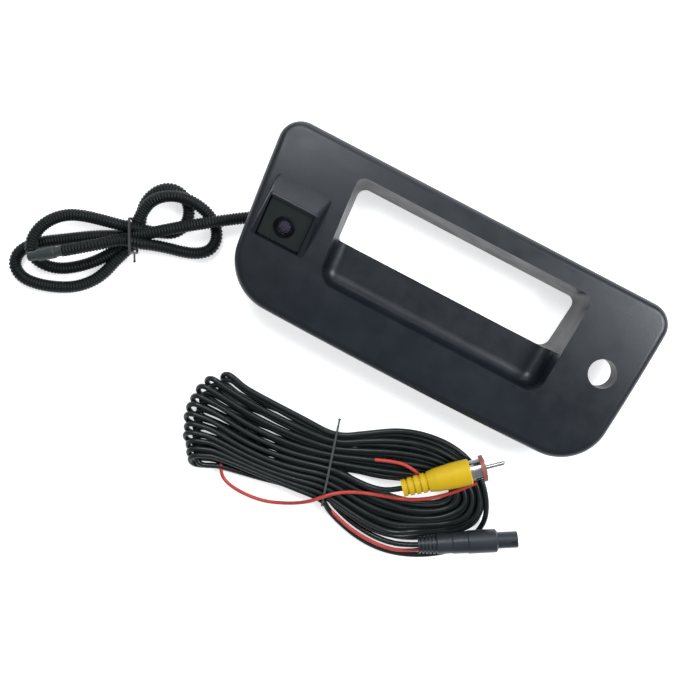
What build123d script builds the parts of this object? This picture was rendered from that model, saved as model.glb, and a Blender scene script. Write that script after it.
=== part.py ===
from build123d import *
import os
from math import cos, pi, radians, sin, tan

# Tailgate-handle bezel with a backup camera in its pod, lying on its back.
# X runs along the bezel towards the key hole, Y towards its top edge, Z out of its face.
# The origin is under the middle of the bezel, on the surface that it lies on. Millimetres.

os.makedirs("parts", exist_ok=True)

# ---- bezel plate -------------------------------------------------------------
FACE_Z = 42.0                 # crown of the face above the surface
WALL = 2.5
RIM_DEPTH = 15.0
RIM_ROUND = 6.5
CROWN_RADIUS = 690.0          # the face is a slice of a cylinder along X
OUTLINE = [(-161.85, 69.5, 17), (161.05, 69.5, 17), (153.0, -66.9, 38), (-147.3, -67.7, 40)]
OUTLINE_LOW = (-8.0, -69.5)   # lowest point of the bowed bottom edge

# ---- handle pocket -----------------------------------------------------------
MOUTH_TOP, MOUTH_BOTTOM, OPENING_TOP, OPENING_BOTTOM = 52.3, -31.2, 48.0, 3.0
MOUTH = [(-93.9, MOUTH_TOP, 7), (99.8, MOUTH_TOP, 8), (97.2, OPENING_BOTTOM, 0.6), (-89.4, OPENING_BOTTOM, 0.6)]
OPENING = [(-91.2, OPENING_TOP, 7), (97.2, OPENING_TOP, 6), (93.2, OPENING_BOTTOM, 9), (-88.0, OPENING_BOTTOM, 4)]
SCOOP = [(-91.2, 22.0, 0), (98.2, 22.0, 0), (95.6, MOUTH_BOTTOM, 13), (-86.2, MOUTH_BOTTOM, 13)]
SCOOP_FLOOR_Z = 15.0
SCOOP_DRAFT = 3.0
SCOOP_ROUND = 11.0

# ---- key hole ----------------------------------------------------------------
KEY_X, KEY_Y, KEY_R = 130.6, 5.5, 10.75
KEY_COLLAR_DEPTH = 17.0
KEY_COLLAR_WALL = 2.4

# ---- camera pod --------------------------------------------------------------
POD_X = -124.4
POD_TILT = 23.0               # the camera looks this far below straight out of the face
PANEL_Y, PANEL_Z = -5.6, FACE_Z + 4.0          # middle of the camera's front panel
POD_BACK = (27.0, FACE_Z - 1.2)
POD_BROW = (10.8, FACE_Z + 13.9)
POD_TOE = (-24.0, FACE_Z - 1.2)
POD_BASE_HALF, POD_TOP_HALF = 22.4, 18.9
POD_WALL = 2.4
RECESS_HALF, RECESS_LOW, RECESS_HIGH = 17.6, -16.2, 16.8

# ---- camera module, in the panel's own frame: u along X, v up the panel, w out of it
PANEL_HALF, PANEL_LOW, PANEL_HIGH, PANEL_T = 17.2, -15.4, 16.0, 2.5
BODY_HALF, BODY_WALL = 13.5, 2.0
SKIRT_REAR, SEAL_T, REAR_END = -9.0, 0.6, -18.0
HOUSING_SCREW_AT, HOUSING_SCREW_R = 10.2, 1.0
LENS_V = -2.0                 # the lens sits a little below the panel's middle
LENS_BORE_R = 8.3
BARREL_R, BARREL_HEAD_R, BARREL_END = 6.0, 6.6, -10.3
GLASS_R = 4.9
BOARD_FRONT, BOARD_T = -11.8, 1.2
PIVOT_W, PIVOT_R, PIVOT_CLEARANCE = -5.8, 1.0, 0.06
GLAND_R, GLAND_BORE_R, GLAND_END = 5.4, 4.3, -24.0

# ---- bracket -----------------------------------------------------------------
ARM_INNER, ARM_T = 13.9, 1.2
FOOT_Z = 35.0                 # underside of the feet
BOSS_X = 21.6

# ---- back of the plate -------------------------------------------------------
CLIP_PLACES = [(-70, 61.5), (75, 61.5), (-60, -44), (68, -44)]
CLIP_TAB_Z, CLIP_TAB_T = 16.0, 2.2
SCREW_BOSSES = [(-30, -50), (30, -50)]
SCREW_BOSS_Z = 24.0
SCREW_PILOT_R = 2.1

# ---- free cords and what is on them -------------------------------------------
LOOM_D = 9.5
LEAD_D = 4.5
CABLE_D = 4.2
TRIGGER_D = 2.8
LOOM_BUNDLE_TOP = 19.4
HANK_TOP = 14.0

# routes: the points that straight runs and tangent arcs go through
LOOM_RUN = [(-141.0, -4.5, 11.0), (-151.0, -10.2, 10.8), (-161.5, -17.0, 11.6), (-171.0, -23.9, 13.4)]
LOOM_TAIL = [(-233.5, -72.8, 14.6), (-242.0, -80.2, 18.8), (-250.3, -87.3, 23.2), (-259.0, -94.2, 24.5),
             (-267.2, -100.5, 24.5)]
CABLE_TO_CONNECTOR = [(76.5, -177.0, 13.4), (65.4, -183.7, 12.0), (51.5, -188.4, 7.8), (36.0, -189.8, 3.9),
                      (19.0, -187.6, 2.4), (2.0, -182.0, 2.3)]
CABLE_TO_PLUG = [(43.5, -141.0, 24.8), (35.0, -148.4, 22.6), (24.5, -152.6, 19.0), (12.0, -154.2, 16.7),
                 (0.0, -154.4, 16.4)]
TRIGGER_TO_CONNECTOR = [(80.8, -180.2, 9.8), (69.0, -189.2, 7.4), (53.5, -193.6, 5.8), (35.5, -194.2, 5.6),
                        (16.5, -191.2, 5.5), (-1.0, -185.2, 5.5)]
TRIGGER_LOOP = [(-88.0, -194.0, 7.0), (-85.5, -203.0, 3.0), (-74.0, -208.2, 1.5), (-59.0, -208.6, 1.5),
                (-44.0, -206.4, 1.5), (-31.0, -200.4, 3.6), (-21.0, -193.0, 10.4), (-12.5, -184.5, 16.8),
                (-7.0, -177.5, 18.2), (1.0, -170.0, 17.4), (12.0, -163.6, 15.7), (26.0, -158.0, 15.6),
                (41.0, -153.4, 15.6), (56.0, -147.6, 15.6), (70.0, -138.4, 15.6), (83.0, -125.8, 15.6),
                (93.5, -112.6, 15.6)]
TRIGGER_STRAY = [(16.0, -133.4, 15.5), (30.0, -127.4, 15.5), (43.0, -125.6, 15.5), (55.0, -128.4, 15.5)]

# outlines with corner radii: the bundle of loom, and the hank of cable
LOOM_BUNDLE = [(-238, -56, 6), (-241, -40, 12), (-228, -16, 14), (-182, -16.5, 14), (-164.5, -33, 12),
               (-169, -57, 12), (-190, -66, 20), (-226, -75, 6), (-228, -90, 20), (-236, -118, 25),
               (-262, -137, 25), (-306, -144, 18), (-313, -120, 18), (-300, -98, 20), (-298, -76, 16),
               (-280, -65, 20)]
HANK = [(-117, -208, 9), (-129, -190, 14), (-136, -165, 16), (-137, -141, 12), (-118, -126, 12),
        (-86, -127.5, 30), (-48, -132, 30), (-20, -127.5, 25), (24, -101, 35), (70, -92.5, 40), (100, -105, 22),
        (116, -130, 12), (114, -142.8, 3), (71.4, -168.6, 3), (65, -176.5, 4), (56.5, -182.6, 12), (38, -186.2, 15),
        (18, -184.2, 15), (3.5, -179.2, 3), (-2, -184.4, 3), (-14, -187.6, 10), (-45, -195, 20), (-70, -198.4, 20),
        (-102, -203.5, 20)]
HANK_LAYER = [(112, -138, 3), (117.5, -146.5, 10), (113.5, -160.5, 12), (106, -174, 12), (96, -183, 12),
              (84.5, -189.2, 12), (72, -192.4, 3), (66, -176.5, 3), (72.5, -166.5, 3), (100, -148, 3)]
HANK_LAYER_TOP = 4.2
LOOM_TIE_AT, HANK_TIE_AT = (-229.1, -67.5), (-11.9, -155.3)
LOOM_TIE_HALF, HANK_TIE_HALF = 12.2, 29.6
LOOM_TIE_TURN, HANK_TIE_TURN = -62.4, -74.0
TIE_WIRE = 1.6

PHONO_REAR, PHONO_TURN, PHONO_Z = (43.5, -141.0), 42.0, 24.8
PHONO_R, PHONO_LENGTH, PHONO_SHELL_R, PHONO_COLLAR_R = 9.8, 53.0, 7.8, 10.0
PHONO_PIN_R = 1.59            # the standard centre pin of a phono plug
PHONO_NECK_R, PHONO_SEAT, PHONO_PIN_REACH, PHONO_BORE_R, PHONO_SHELL_REACH = 1.3, 3.6, 27.0, 6.0, 12.0
CONNECTOR_REAR, CONNECTOR_TURN, CONNECTOR_Z = (76.5, -177.0), 31.2, 13.4
CONNECTOR_R, CONNECTOR_LENGTH = 8.8, 61.0
NOSE_R, NOSE_LENGTH, NOSE_BORE_R, INSERT_T = 6.2, 15.5, 3.9, 4.5
RIB_AT, RIB_TURN = (-146.6, -15.3), -149.7


def tilted(u, v, w):
    """A point of the camera panel's frame, in the bezel's frame."""
    tilt = radians(POD_TILT)
    return (POD_X + u, PANEL_Y + v * cos(tilt) - w * sin(tilt), PANEL_Z + v * sin(tilt) + w * cos(tilt))


PANEL = Plane(origin=tilted(0, 0, 0), x_dir=(1, 0, 0), z_dir=(0, -sin(radians(POD_TILT)), cos(radians(POD_TILT))))


def write(node, shape):
    export_step(shape, f"parts/{node}.step")
    print(f"{node:26s} {shape.volume:12.1f} mm3  solids {len(shape.solids())}")


def rounded(points):
    """A closed face through (x, y, corner radius) points."""
    corners = [(x, y) for x, y, r in points]
    face = make_face(Polyline(*corners, close=True))
    for x, y, r in points:
        if r:
            near = face.vertices().sort_by_distance((x, y, 0))[0]
            face = fillet(near, r)
    return face


def at_z(shape, z):
    return Pos(0, 0, z) * shape


def box(x0, y0, z0, x1, y1, z1):
    return Pos((x0 + x1) / 2, (y0 + y1) / 2, (z0 + z1) / 2) * Box(x1 - x0, y1 - y0, z1 - z0)


def rod(start, end, radius):
    """A round bar between two points."""
    direction = Vector(*end) - Vector(*start)
    plane = Plane(origin=start, z_dir=direction)
    return plane * Cylinder(radius, direction.length, align=(Align.CENTER, Align.CENTER, Align.MIN))


def turned(plane, profile):
    """A solid of revolution about the plane's z axis from (radius, height) points."""
    face = make_face(Polyline(*[(r, 0, h) for r, h in profile], close=True))
    return plane * revolve(face, Axis.Z)


def panel_box(u0, v0, w0, u1, v1, w1):
    return PANEL * box(u0, v0, w0, u1, v1, w1)


def panel_square(half, w0, w1, corner, v_mid=0.0):
    """A square prism with round corners in the camera's frame."""
    return PANEL * Pos(0, v_mid, w0) * extrude(RectangleRounded(2 * half, 2 * half, corner), w1 - w0)


# ---- bezel shell ---------------------------------------------------------------
def plate_outline():
    (x1, y1, r1), (x2, y2, r2), (x3, y3, r3), (x4, y4, r4) = OUTLINE
    edges = [Line((x1, y1), (x2, y2)), Line((x2, y2), (x3, y3)),
             ThreePointArc((x3, y3), OUTLINE_LOW, (x4, y4)), Line((x4, y4), (x1, y1))]
    face = make_face(Wire(edges))
    for x, y, r in OUTLINE:
        near = face.vertices().sort_by_distance((x, y, 0))[0]
        face = fillet(near, r)
    return face


def crowned_slab(face, inset, edge_round, bottom_z):
    """The plate's outline, pulled in by inset, up to the crowned face and rounded at its edge."""
    outline = offset(face, -inset) if inset else face
    block = at_z(extrude(outline, FACE_Z + 2 - bottom_z), bottom_z)
    crown = Pos(0, 0, FACE_Z - CROWN_RADIUS) * Rot(0, 90, 0) * Cylinder(CROWN_RADIUS - inset, 400)
    slab = block & crown
    top = slab.faces().filter_by(GeomType.CYLINDER).sort_by(SortBy.AREA)[-1]
    return fillet(top.edges(), edge_round)


def lofted_prism(lower, z_low, upper, z_high, grow):
    low = at_z(offset(rounded(lower), grow) if grow else rounded(lower), z_low)
    high = at_z(offset(rounded(upper), grow) if grow else rounded(upper), z_high)
    return loft([low, high])


def scoop(grow):
    """The hand scoop below the opening, with its round front and ends."""
    face = rounded(SCOOP)
    if grow:
        face = offset(face, grow, kind=Kind.INTERSECTION)
    depth = FACE_Z - SCOOP_FLOOR_Z + grow
    body = at_z(extrude(face, amount=-depth, taper=SCOOP_DRAFT), FACE_Z)
    floor = body.faces().sort_by(Axis.Z)[0]
    low_edges = [e for e in floor.edges() if (e @ 0.5).Y < SCOOP[0][1] - 5]
    body = fillet(low_edges, SCOOP_ROUND + grow)
    if not grow:
        lid = body.faces().sort_by(Axis.Z)[-1]
        body = body + extrude(lid, 3.0)
    return body & box(-120, -50, -5, 120, OPENING_BOTTOM + 0.5, FACE_Z + 10)


def pod_solid(inset):
    """The wedge of the pod: a roof up to the brow, then the cheeks down to the toe."""
    (yb, zb), (yt, zt), (yf, zf) = POD_BACK, POD_BROW, POD_TOE
    skirt = 10
    side_view = make_face(Polyline((yb, zb - skirt), (yb, zb), (yt, zt), (yf, zf), (yf, zf - skirt), close=True))
    flare = (POD_BASE_HALF - POD_TOP_HALF) / (zt - zb)
    low, high = POD_BASE_HALF + skirt * flare, POD_TOP_HALF - 8 * flare
    end_view = make_face(Polyline((-low, zb - skirt), (low, zb - skirt), (high, zt + 8), (-high, zt + 8),
                                  close=True))
    if inset:
        side_view = offset(side_view, -inset, kind=Kind.INTERSECTION)
        end_view = offset(end_view, -inset, kind=Kind.INTERSECTION)
    wedge = extrude(Plane.YZ * side_view, amount=40, both=True)
    return Pos(POD_X, 0, 0) * (wedge & extrude(Plane.XZ * end_view, amount=60, both=True))


def camera_window():
    """What the pod leaves open for the camera: the recess and the way behind it."""
    return panel_box(-RECESS_HALF, RECESS_LOW, -PANEL_T - 6, RECESS_HALF, RECESS_HIGH, 20)


def bezel_shell():
    outline = plate_outline()
    rim_z = FACE_Z - RIM_DEPTH
    outer = crowned_slab(outline, 0, RIM_ROUND, rim_z)
    inner = crowned_slab(outline, WALL, RIM_ROUND - WALL, rim_z - 5)
    plate = outer - inner

    # camera pod: outer wedge with soft ridges, and a hollow of the same shape inside it
    pod = pod_solid(0)
    ridges = [e for e in pod.edges() if (e @ 0.5).Z > FACE_Z - 0.5]
    pod = fillet(ridges, 3.0) & box(POD_X - 40, -40, FACE_Z - 3.2, POD_X + 40, 40, FACE_Z + 30)
    shell = plate + pod - pod_solid(POD_WALL) - camera_window()

    # handle pocket
    pocket = lofted_prism(OPENING, 0, MOUTH, FACE_Z - 2.0, WALL) + scoop(WALL)
    pocket = pocket & crowned_slab(outline, 0.4, RIM_ROUND, -1)
    shell = shell + pocket
    shell = shell - lofted_prism(OPENING, -1, MOUTH, FACE_Z + 1.0, 0) - scoop(0)

    # key hole and its collar
    collar = Pos(KEY_X, KEY_Y, FACE_Z - KEY_COLLAR_DEPTH) * Cylinder(
        KEY_R + KEY_COLLAR_WALL, KEY_COLLAR_DEPTH - 1.0, align=(Align.CENTER, Align.CENTER, Align.MIN))
    shell = shell + collar - Pos(KEY_X, KEY_Y, FACE_Z) * Cylinder(KEY_R, 60)

    # bosses for the camera bracket, ribs, and the tabs that carry the spring clips
    for side in (-1, 1):
        boss = Pos(POD_X + side * BOSS_X, -1.0, FOOT_Z + 1.2) * Cylinder(
            3.4, FACE_Z - FOOT_Z - 2.4, align=(Align.CENTER, Align.CENTER, Align.MIN))
        shell = shell + boss - Pos(POD_X + side * BOSS_X, -1.0, FOOT_Z + 1.0) * Cylinder(
            1.2, 4.0, align=(Align.CENTER, Align.CENTER, Align.MIN))
    for x, y in CLIP_PLACES:
        shell = shell + box(x - 5, y - CLIP_TAB_T / 2, CLIP_TAB_Z, x + 5, y + CLIP_TAB_T / 2, FACE_Z - 2.8)
    for x, y in SCREW_BOSSES:
        boss = Pos(x, y, SCREW_BOSS_Z) * Cylinder(4.2, FACE_Z - SCREW_BOSS_Z - 2.9,
                                                  align=(Align.CENTER, Align.CENTER, Align.MIN))
        shell = shell + boss - Pos(x, y, SCREW_BOSS_Z) * Cylinder(SCREW_PILOT_R, 24)
    return shell + loom_rib()


def spring_clips():
    """Steel U clips pushed over the plate's tabs, each with two barbs that grip the tailgate."""
    clips = []
    gap, sheet = CLIP_TAB_T / 2 + 0.05, 0.6
    for x, y in CLIP_PLACES:
        clip = box(x - 4, y - gap - sheet, CLIP_TAB_Z - 0.7 - sheet, x + 4, y + gap + sheet, 31)
        clip = clip - box(x - 5, y - gap, CLIP_TAB_Z - 0.7, x + 5, y + gap, 32)
        for side in (-1, 1):
            y0 = y + side * (gap + sheet)
            barb = make_face(Polyline((y0, 16), (y0 + side * 2.6, 25.5), (y0 + side * 2.0, 26), (y0 - side * 0.3, 17.5),
                                      close=True))
            clip = clip + Pos(x, 0, 0) * extrude(Plane.YZ * barb, amount=2.5, both=True)
        clips.append(clip)
    return Compound(children=clips)


# ---- camera module -----------------------------------------------------------
LENS = PANEL * Pos(0, LENS_V, 0)


def lens_disc(radius, w0, w1, bulge_front=0.0, bulge_rear=0.0):
    """A lens: a disc about the lens axis with domed faces."""
    low, high = w0 - bulge_rear, w1 + bulge_front
    disc = Pos(0, 0, low) * Cylinder(radius, high - low, align=(Align.CENTER, Align.CENTER, Align.MIN))
    if bulge_front:
        ball = (radius ** 2 + bulge_front ** 2) / (2 * bulge_front)
        disc = disc & Pos(0, 0, high - ball) * Sphere(ball)
    if bulge_rear:
        ball = (radius ** 2 + bulge_rear ** 2) / (2 * bulge_rear)
        disc = disc & Pos(0, 0, low + ball) * Sphere(ball)
    return LENS * disc


def corner_places():
    return [(su * HOUSING_SCREW_AT, sv * HOUSING_SCREW_AT) for su in (-1, 1) for sv in (-1, 1)]


def panel_rod(u, v, w0, w1, radius):
    return PANEL * Pos(u, v, w0) * Cylinder(radius, w1 - w0, align=(Align.CENTER, Align.CENTER, Align.MIN))


def side_rod(side, u0, u1, radius):
    """A round bar along u at the pivot, on one side of the camera."""
    return rod(tilted(side * u0, 0, PIVOT_W), tilted(side * u1, 0, PIVOT_W), radius)


def camera_front_housing():
    height = PANEL_HIGH - PANEL_LOW
    face = RectangleRounded(2 * PANEL_HALF, height, 1.6)
    panel = PANEL * Pos(0, (PANEL_HIGH + PANEL_LOW) / 2, -PANEL_T) * extrude(face, PANEL_T)
    rim = panel.faces().sort_by_distance(tilted(0, 0, 30))[0].edges()
    panel = fillet(rim, 0.6)
    housing = panel + panel_square(BODY_HALF, SKIRT_REAR, -PANEL_T, 2.5)
    housing = housing - panel_square(BODY_HALF - BODY_WALL, SKIRT_REAR - 1, -PANEL_T, 1.0)
    for u, v in corner_places():
        housing = housing + panel_rod(u, v, SKIRT_REAR, -PANEL_T, 2.2) \
            - panel_rod(u, v, SKIRT_REAR - 1, SKIRT_REAR + 4.5, HOUSING_SCREW_R)
    for side in (-1, 1):
        housing = housing + side_rod(side, 10.6, 13.0, 2.4) - side_rod(side, 10.9, 14.0, PIVOT_R)
    return housing - LENS * Cylinder(LENS_BORE_R, 20)


def camera_rear_housing():
    front = SKIRT_REAR - SEAL_T
    housing = panel_square(BODY_HALF, REAR_END, front, 2.5)
    housing = housing - panel_square(BODY_HALF - BODY_WALL, REAR_END + BODY_WALL, front + 1, 1.0)
    for u, v in corner_places():
        housing = housing + panel_rod(u, v, REAR_END, front, 2.2)
    for u, v in corner_places():
        housing = housing - panel_rod(u, v, REAR_END - 1, front + 1, HOUSING_SCREW_R + 0.08)
    housing = housing + panel_rod(0, 0, REAR_END - 2.5, REAR_END, GLAND_R + 2.0)
    return housing - panel_rod(0, 0, REAR_END - 4, REAR_END + 4, GLAND_R)


def housing_seal():
    ring = panel_square(BODY_HALF - 0.2, SKIRT_REAR - SEAL_T, SKIRT_REAR, 2.3)
    ring = ring - panel_square(BODY_HALF - BODY_WALL + 0.1, SKIRT_REAR - 2, SKIRT_REAR + 1, 1.0)
    for u, v in corner_places():
        ring = ring - panel_rod(u, v, SKIRT_REAR - 2, SKIRT_REAR + 1, HOUSING_SCREW_R + 0.05)
    return ring


def housing_screws():
    screws = []
    for u, v in corner_places():
        head = panel_rod(u, v, REAR_END - 1.3, REAR_END, 1.9)
        slot = PANEL * Pos(u, v, REAR_END - 1.3) * (Box(2.4, 0.5, 1.2) + Box(0.5, 2.4, 1.2))
        screws.append(head - slot + panel_rod(u, v, REAR_END, SKIRT_REAR + 4.2, HOUSING_SCREW_R))
    return Compound(children=screws)


def lens_trim_ring():
    profile = [(LENS_BORE_R, -2.4), (LENS_BORE_R, 0.4), (7.7, 1.0), (7.1, 1.0), (BARREL_HEAD_R + 0.05, 0.2),
               (BARREL_HEAD_R + 0.05, -2.4)]
    return turned(LENS, profile)


def lens_barrel():
    profile = [(BARREL_R, BARREL_END), (BARREL_R, -4.2), (BARREL_HEAD_R, -4.2), (BARREL_HEAD_R, 0.6), (6.2, 1.0),
               (5.6, 1.0), (GLASS_R + 0.05, -0.2), (GLASS_R + 0.05, -2.6), (4.2, -2.6), (4.2, BARREL_END)]
    return turned(LENS, profile)


def lens_spacer():
    return turned(LENS, [(4.15, -6.3), (4.15, -5.2), (3.2, -5.2), (3.2, -6.3)])


def lens_holder():
    """Threaded seat for the barrel, over the image sensor."""
    tube = turned(LENS, [(7.4, BOARD_FRONT + 1.4), (7.4, -6.0), (BARREL_R, -6.0), (BARREL_R, BOARD_FRONT + 1.4)])
    foot = LENS * Pos(0, 0, BOARD_FRONT) * extrude(RectangleRounded(16, 16, 1.5), 1.4)
    return tube + foot - LENS * Pos(0, 0, BOARD_FRONT) * Box(8.6, 8.6, 10)


def board_outline():
    notch = 3.4
    board = Rectangle(20.0, 22.4)
    for u, v in corner_places():
        board = board - Pos(u, v) * Circle(notch)
    return board


def sensor_board():
    return PANEL * Pos(0, 0, BOARD_FRONT - BOARD_T) * extrude(board_outline(), BOARD_T)


def board_components():
    """Processor, memory, regulator and capacitors on the back of the board."""
    back = BOARD_FRONT - BOARD_T
    chips = [(-3.0, 4.2, 7.0, 7.0, 0.9), (5.0, 5.0, 4.0, 3.0, 0.8), (-5.5, -4.5, 3.0, 5.0, 1.1),
             (0.5, -8.6, 2.0, 1.2, 0.8), (5.0, 1.2, 1.6, 0.8, 0.6), (5.0, -0.8, 1.6, 0.8, 0.6)]
    return Compound(children=[panel_box(u - a / 2, v - b / 2, back - t, u + a / 2, v + b / 2, back)
                              for u, v, a, b, t in chips])


def board_socket():
    back = BOARD_FRONT - BOARD_T
    body = panel_box(-0.5, -7.4, back - 2.6, 8.5, -3.2, back)
    return body - panel_box(0.3, -6.8, back - 3, 7.7, -3.8, back - 0.8)


def cable_gland():
    """Rubber gland, with a bore wide enough for the camera to tilt round its lead."""
    end = REAR_END - 2.5
    profile = [(GLAND_R, REAR_END + 2.0), (GLAND_R, end), (GLAND_R + 1.5, end), (GLAND_R + 1.5, end - 1.2),
               (GLAND_R, end - 1.6), (GLAND_R - 0.3, GLAND_END), (GLAND_BORE_R, GLAND_END),
               (GLAND_BORE_R, REAR_END + 2.0)]
    return turned(PANEL, profile)


def pivot_screws():
    screws = []
    for side in (-1, 1):
        shank = side_rod(side, 11.0, ARM_INNER + ARM_T + 0.1, PIVOT_R)
        head = side_rod(side, ARM_INNER + ARM_T + 0.1, ARM_INNER + ARM_T + 1.5, 1.9)
        slot_at = tilted(side * (ARM_INNER + ARM_T + 1.5), 0, PIVOT_W)
        screws.append(shank + head - Pos(*slot_at) * Box(1.2, 2.6, 0.5))
    return Compound(children=screws)


def camera_bracket():
    """Two bent steel angles that carry the camera on its pivot screws."""
    angles = []
    pivot = tilted(0, 0, PIVOT_W)
    for side in (-1, 1):
        x0, x1 = sorted((POD_X + side * ARM_INNER, POD_X + side * (ARM_INNER + ARM_T)))
        arm = box(x0, pivot[1] - 3.2, FOOT_Z, x1, pivot[1] + 3.6, pivot[2])
        arm = arm + Pos((x0 + x1) / 2, pivot[1], pivot[2]) * Rot(0, 90, 0) * Cylinder(2.6, ARM_T)
        f0, f1 = sorted((POD_X + side * ARM_INNER, POD_X + side * (BOSS_X + 3.4)))
        foot = box(f0, -5.0, FOOT_Z, f1, 3.0, FOOT_Z + ARM_T)
        angle = arm + foot - side_rod(side, 10, 30, PIVOT_R + PIVOT_CLEARANCE)
        angle = angle - Pos(POD_X + side * BOSS_X, -1.0, FOOT_Z) * Cylinder(1.35, 6)
        angles.append(angle)
    return Compound(children=angles)


def bracket_screws():
    screws = []
    for side in (-1, 1):
        spot = Pos(POD_X + side * BOSS_X, -1.0, FOOT_Z)
        up = (Align.CENTER, Align.CENTER, Align.MIN)
        down = (Align.CENTER, Align.CENTER, Align.MAX)
        head = spot * Cylinder(2.3, 1.4, align=down) - spot * Pos(0, 0, -1.4) * (Box(3, 0.6, 1) + Box(0.6, 3, 1))
        screws.append(head + spot * Cylinder(1.2, 4.4, align=up))
    return Compound(children=screws)


# ---- tubes --------------------------------------------------------------------
def route_radii(points):
    """Largest tangent arc at each corner: 0.45 of the shorter run over the tangent of half the turn."""
    radii = []
    for before, here, after in zip(points, points[1:], points[2:]):
        first, second = Vector(*here) - Vector(*before), Vector(*after) - Vector(*here)
        turn = radians(first.get_angle(second))
        radii.append(0.45 * min(first.length, second.length) / tan(turn / 2))
    return radii


def tube(name, points, diameter):
    radii = route_radii(points)
    path = FilletPolyline(*points, radius=radii)
    start = Plane(origin=points[0], z_dir=Vector(*points[1]) - Vector(*points[0]))
    solid = sweep(start * Circle(diameter / 2), path=path)
    expected = pi * diameter ** 2 / 4 * path.length
    print(f"{name}: radii {[round(r, 1) for r in radii]} length {path.length:.1f} "
          f"volume over section {solid.volume / expected:.4f}")
    return solid


def camera_lead():
    points = [tilted(0, 0, REAR_END + 0.5), tilted(0, 0, -27.5), (-127.3, 4.4, 15.0), (-133.0, 0.06, 11.16),
              LOOM_RUN[0]]
    return tube("camera_lead", points, LEAD_D)


# ---- loom, its anchor and its end ------------------------------------------------
def heading(degrees_from_x):
    return (cos(radians(degrees_from_x)), sin(radians(degrees_from_x)), 0)


def strap_ring(at, turn, half, z0, z1, thick, wide):
    """A flat ring round a bundle: its long side lies along the heading, and it stands upright."""
    middle = (z0 + z1) / 2
    plane = Plane(origin=(at[0], at[1], middle), x_dir=heading(turn), z_dir=heading(turn + 90))
    outer = extrude(RectangleRounded(2 * (half + thick), z1 - z0, thick + 0.8), wide / 2, both=True)
    inner = extrude(RectangleRounded(2 * half, z1 - z0 - 2 * thick, 0.8), wide, both=True)
    return plane * (outer - inner)


def twisted_ends(at, turn, reach, z, length=9.0, radius=0.75):
    """The two ends of a wire tie, twisted together beyond its bundle."""
    plane = Plane(origin=(at[0], at[1], z), x_dir=heading(turn), z_dir=(0, 0, 1))
    twist = plane * Pos(reach, 0, 0) * Rot(0, 90, 0) * Cylinder(radius, length,
                                                               align=(Align.CENTER, Align.CENTER, Align.MIN))
    fold = plane * Pos(reach + length, 0, 0) * Sphere(radius * 1.5)
    return twist + fold


def loom_rib():
    """Moulded rib under the plate that the loom is strapped to."""
    plane = Plane(origin=(RIB_AT[0], RIB_AT[1], 0), x_dir=heading(RIB_TURN), z_dir=(0, 0, 1))
    rib = plane * Pos(0, 0, 6.5) * Box(8, 3, FACE_Z - 6.5 - 2.9, align=(Align.CENTER, Align.CENTER, Align.MIN))
    return rib - plane * Pos(0, 0, 16.8) * Box(3.8, 4, 1.6)


def loom_strap():
    """Nylon tie round the loom and the rib."""
    across = heading(RIB_TURN + 90)
    middle = (RIB_AT[0] - 5.0 * across[0], RIB_AT[1] - 5.0 * across[1])
    return strap_ring(middle, RIB_TURN + 90, 6.8, 4.4, 17.4, 1.2, 3.4)


def slab(outline, top, edge_round):
    body = extrude(rounded(outline), top)
    upper = body.faces().sort_by(Axis.Z)[-1].edges()
    return fillet(upper, edge_round)


def loom_bundle():
    body = slab(LOOM_BUNDLE, LOOM_BUNDLE_TOP, 2.5)
    body = body - tube("loom run in bundle", LOOM_RUN, LOOM_D) - tube("loom tail in bundle", LOOM_TAIL, LOOM_D)
    return body - tie_space(LOOM_TIE_AT, LOOM_TIE_TURN, LOOM_TIE_HALF)


def tie_space(at, turn, half):
    plane = Plane(origin=(at[0], at[1], 0), x_dir=heading(turn), z_dir=(0, 0, 1))
    under = plane * Box(3 * half, TIE_WIRE + 0.8, 2 * TIE_WIRE + 2.0)
    sides = [plane * Pos(side * (half + 10), 0, 0) * Box(20, TIE_WIRE + 0.8, 80) for side in (-1, 1)]
    return under + sides[0] + sides[1]


def loom_tie():
    ring = strap_ring(LOOM_TIE_AT, LOOM_TIE_TURN, LOOM_TIE_HALF, 0, LOOM_BUNDLE_TOP + TIE_WIRE + 0.2, TIE_WIRE,
                      TIE_WIRE)
    return ring + twisted_ends(LOOM_TIE_AT, LOOM_TIE_TURN, LOOM_TIE_HALF + TIE_WIRE - 0.3, 8.0, 6.0)


def end_plane(points):
    """The frame at a route's last point, its z axis going on the way the route ends."""
    return Plane(origin=points[-1], z_dir=Vector(*points[-1]) - Vector(*points[-2]))


def pigtail_boot():
    return turned(end_plane(LOOM_TAIL), [(0, 0), (LOOM_D / 2 - 0.3, 0), (LOOM_D / 2 - 0.3, 1.5), (3.9, 2.4),
                                         (3.9, 6.0), (0, 6.0)])


def pigtail_connector():
    body = turned(end_plane(LOOM_TAIL), [(0, 6.0), (4.3, 6.0), (4.7, 6.8), (4.7, 19.2), (4.3, 20.0), (3.7, 20.0),
                                         (3.7, 26.5), (3.3, 27.0), (0, 27.0)])
    for place in pin_places(2.0):
        body = body - end_plane(LOOM_TAIL) * Pos(place[0], place[1], 19) * Cylinder(
            0.75, 10, align=(Align.CENTER, Align.CENTER, Align.MIN))
    return body


def pin_places(radius):
    return [(radius * cos(radians(45 + 90 * i)), radius * sin(radians(45 + 90 * i))) for i in range(4)]


def pigtail_contacts():
    cups = []
    for u, v in pin_places(2.0):
        place = end_plane(LOOM_TAIL) * Pos(u, v, 19)
        cup = place * Cylinder(0.75, 7.6, align=(Align.CENTER, Align.CENTER, Align.MIN))
        cups.append(cup - place * Pos(0, 0, 2) * Cylinder(0.5, 7, align=(Align.CENTER, Align.CENTER, Align.MIN)))
    return Compound(children=cups)


# ---- extension lead ----------------------------------------------------------------
def plug_plane(rear, turn, z):
    return Plane(origin=(rear[0], rear[1], z), x_dir=(0, 0, 1), z_dir=heading(turn))


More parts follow.
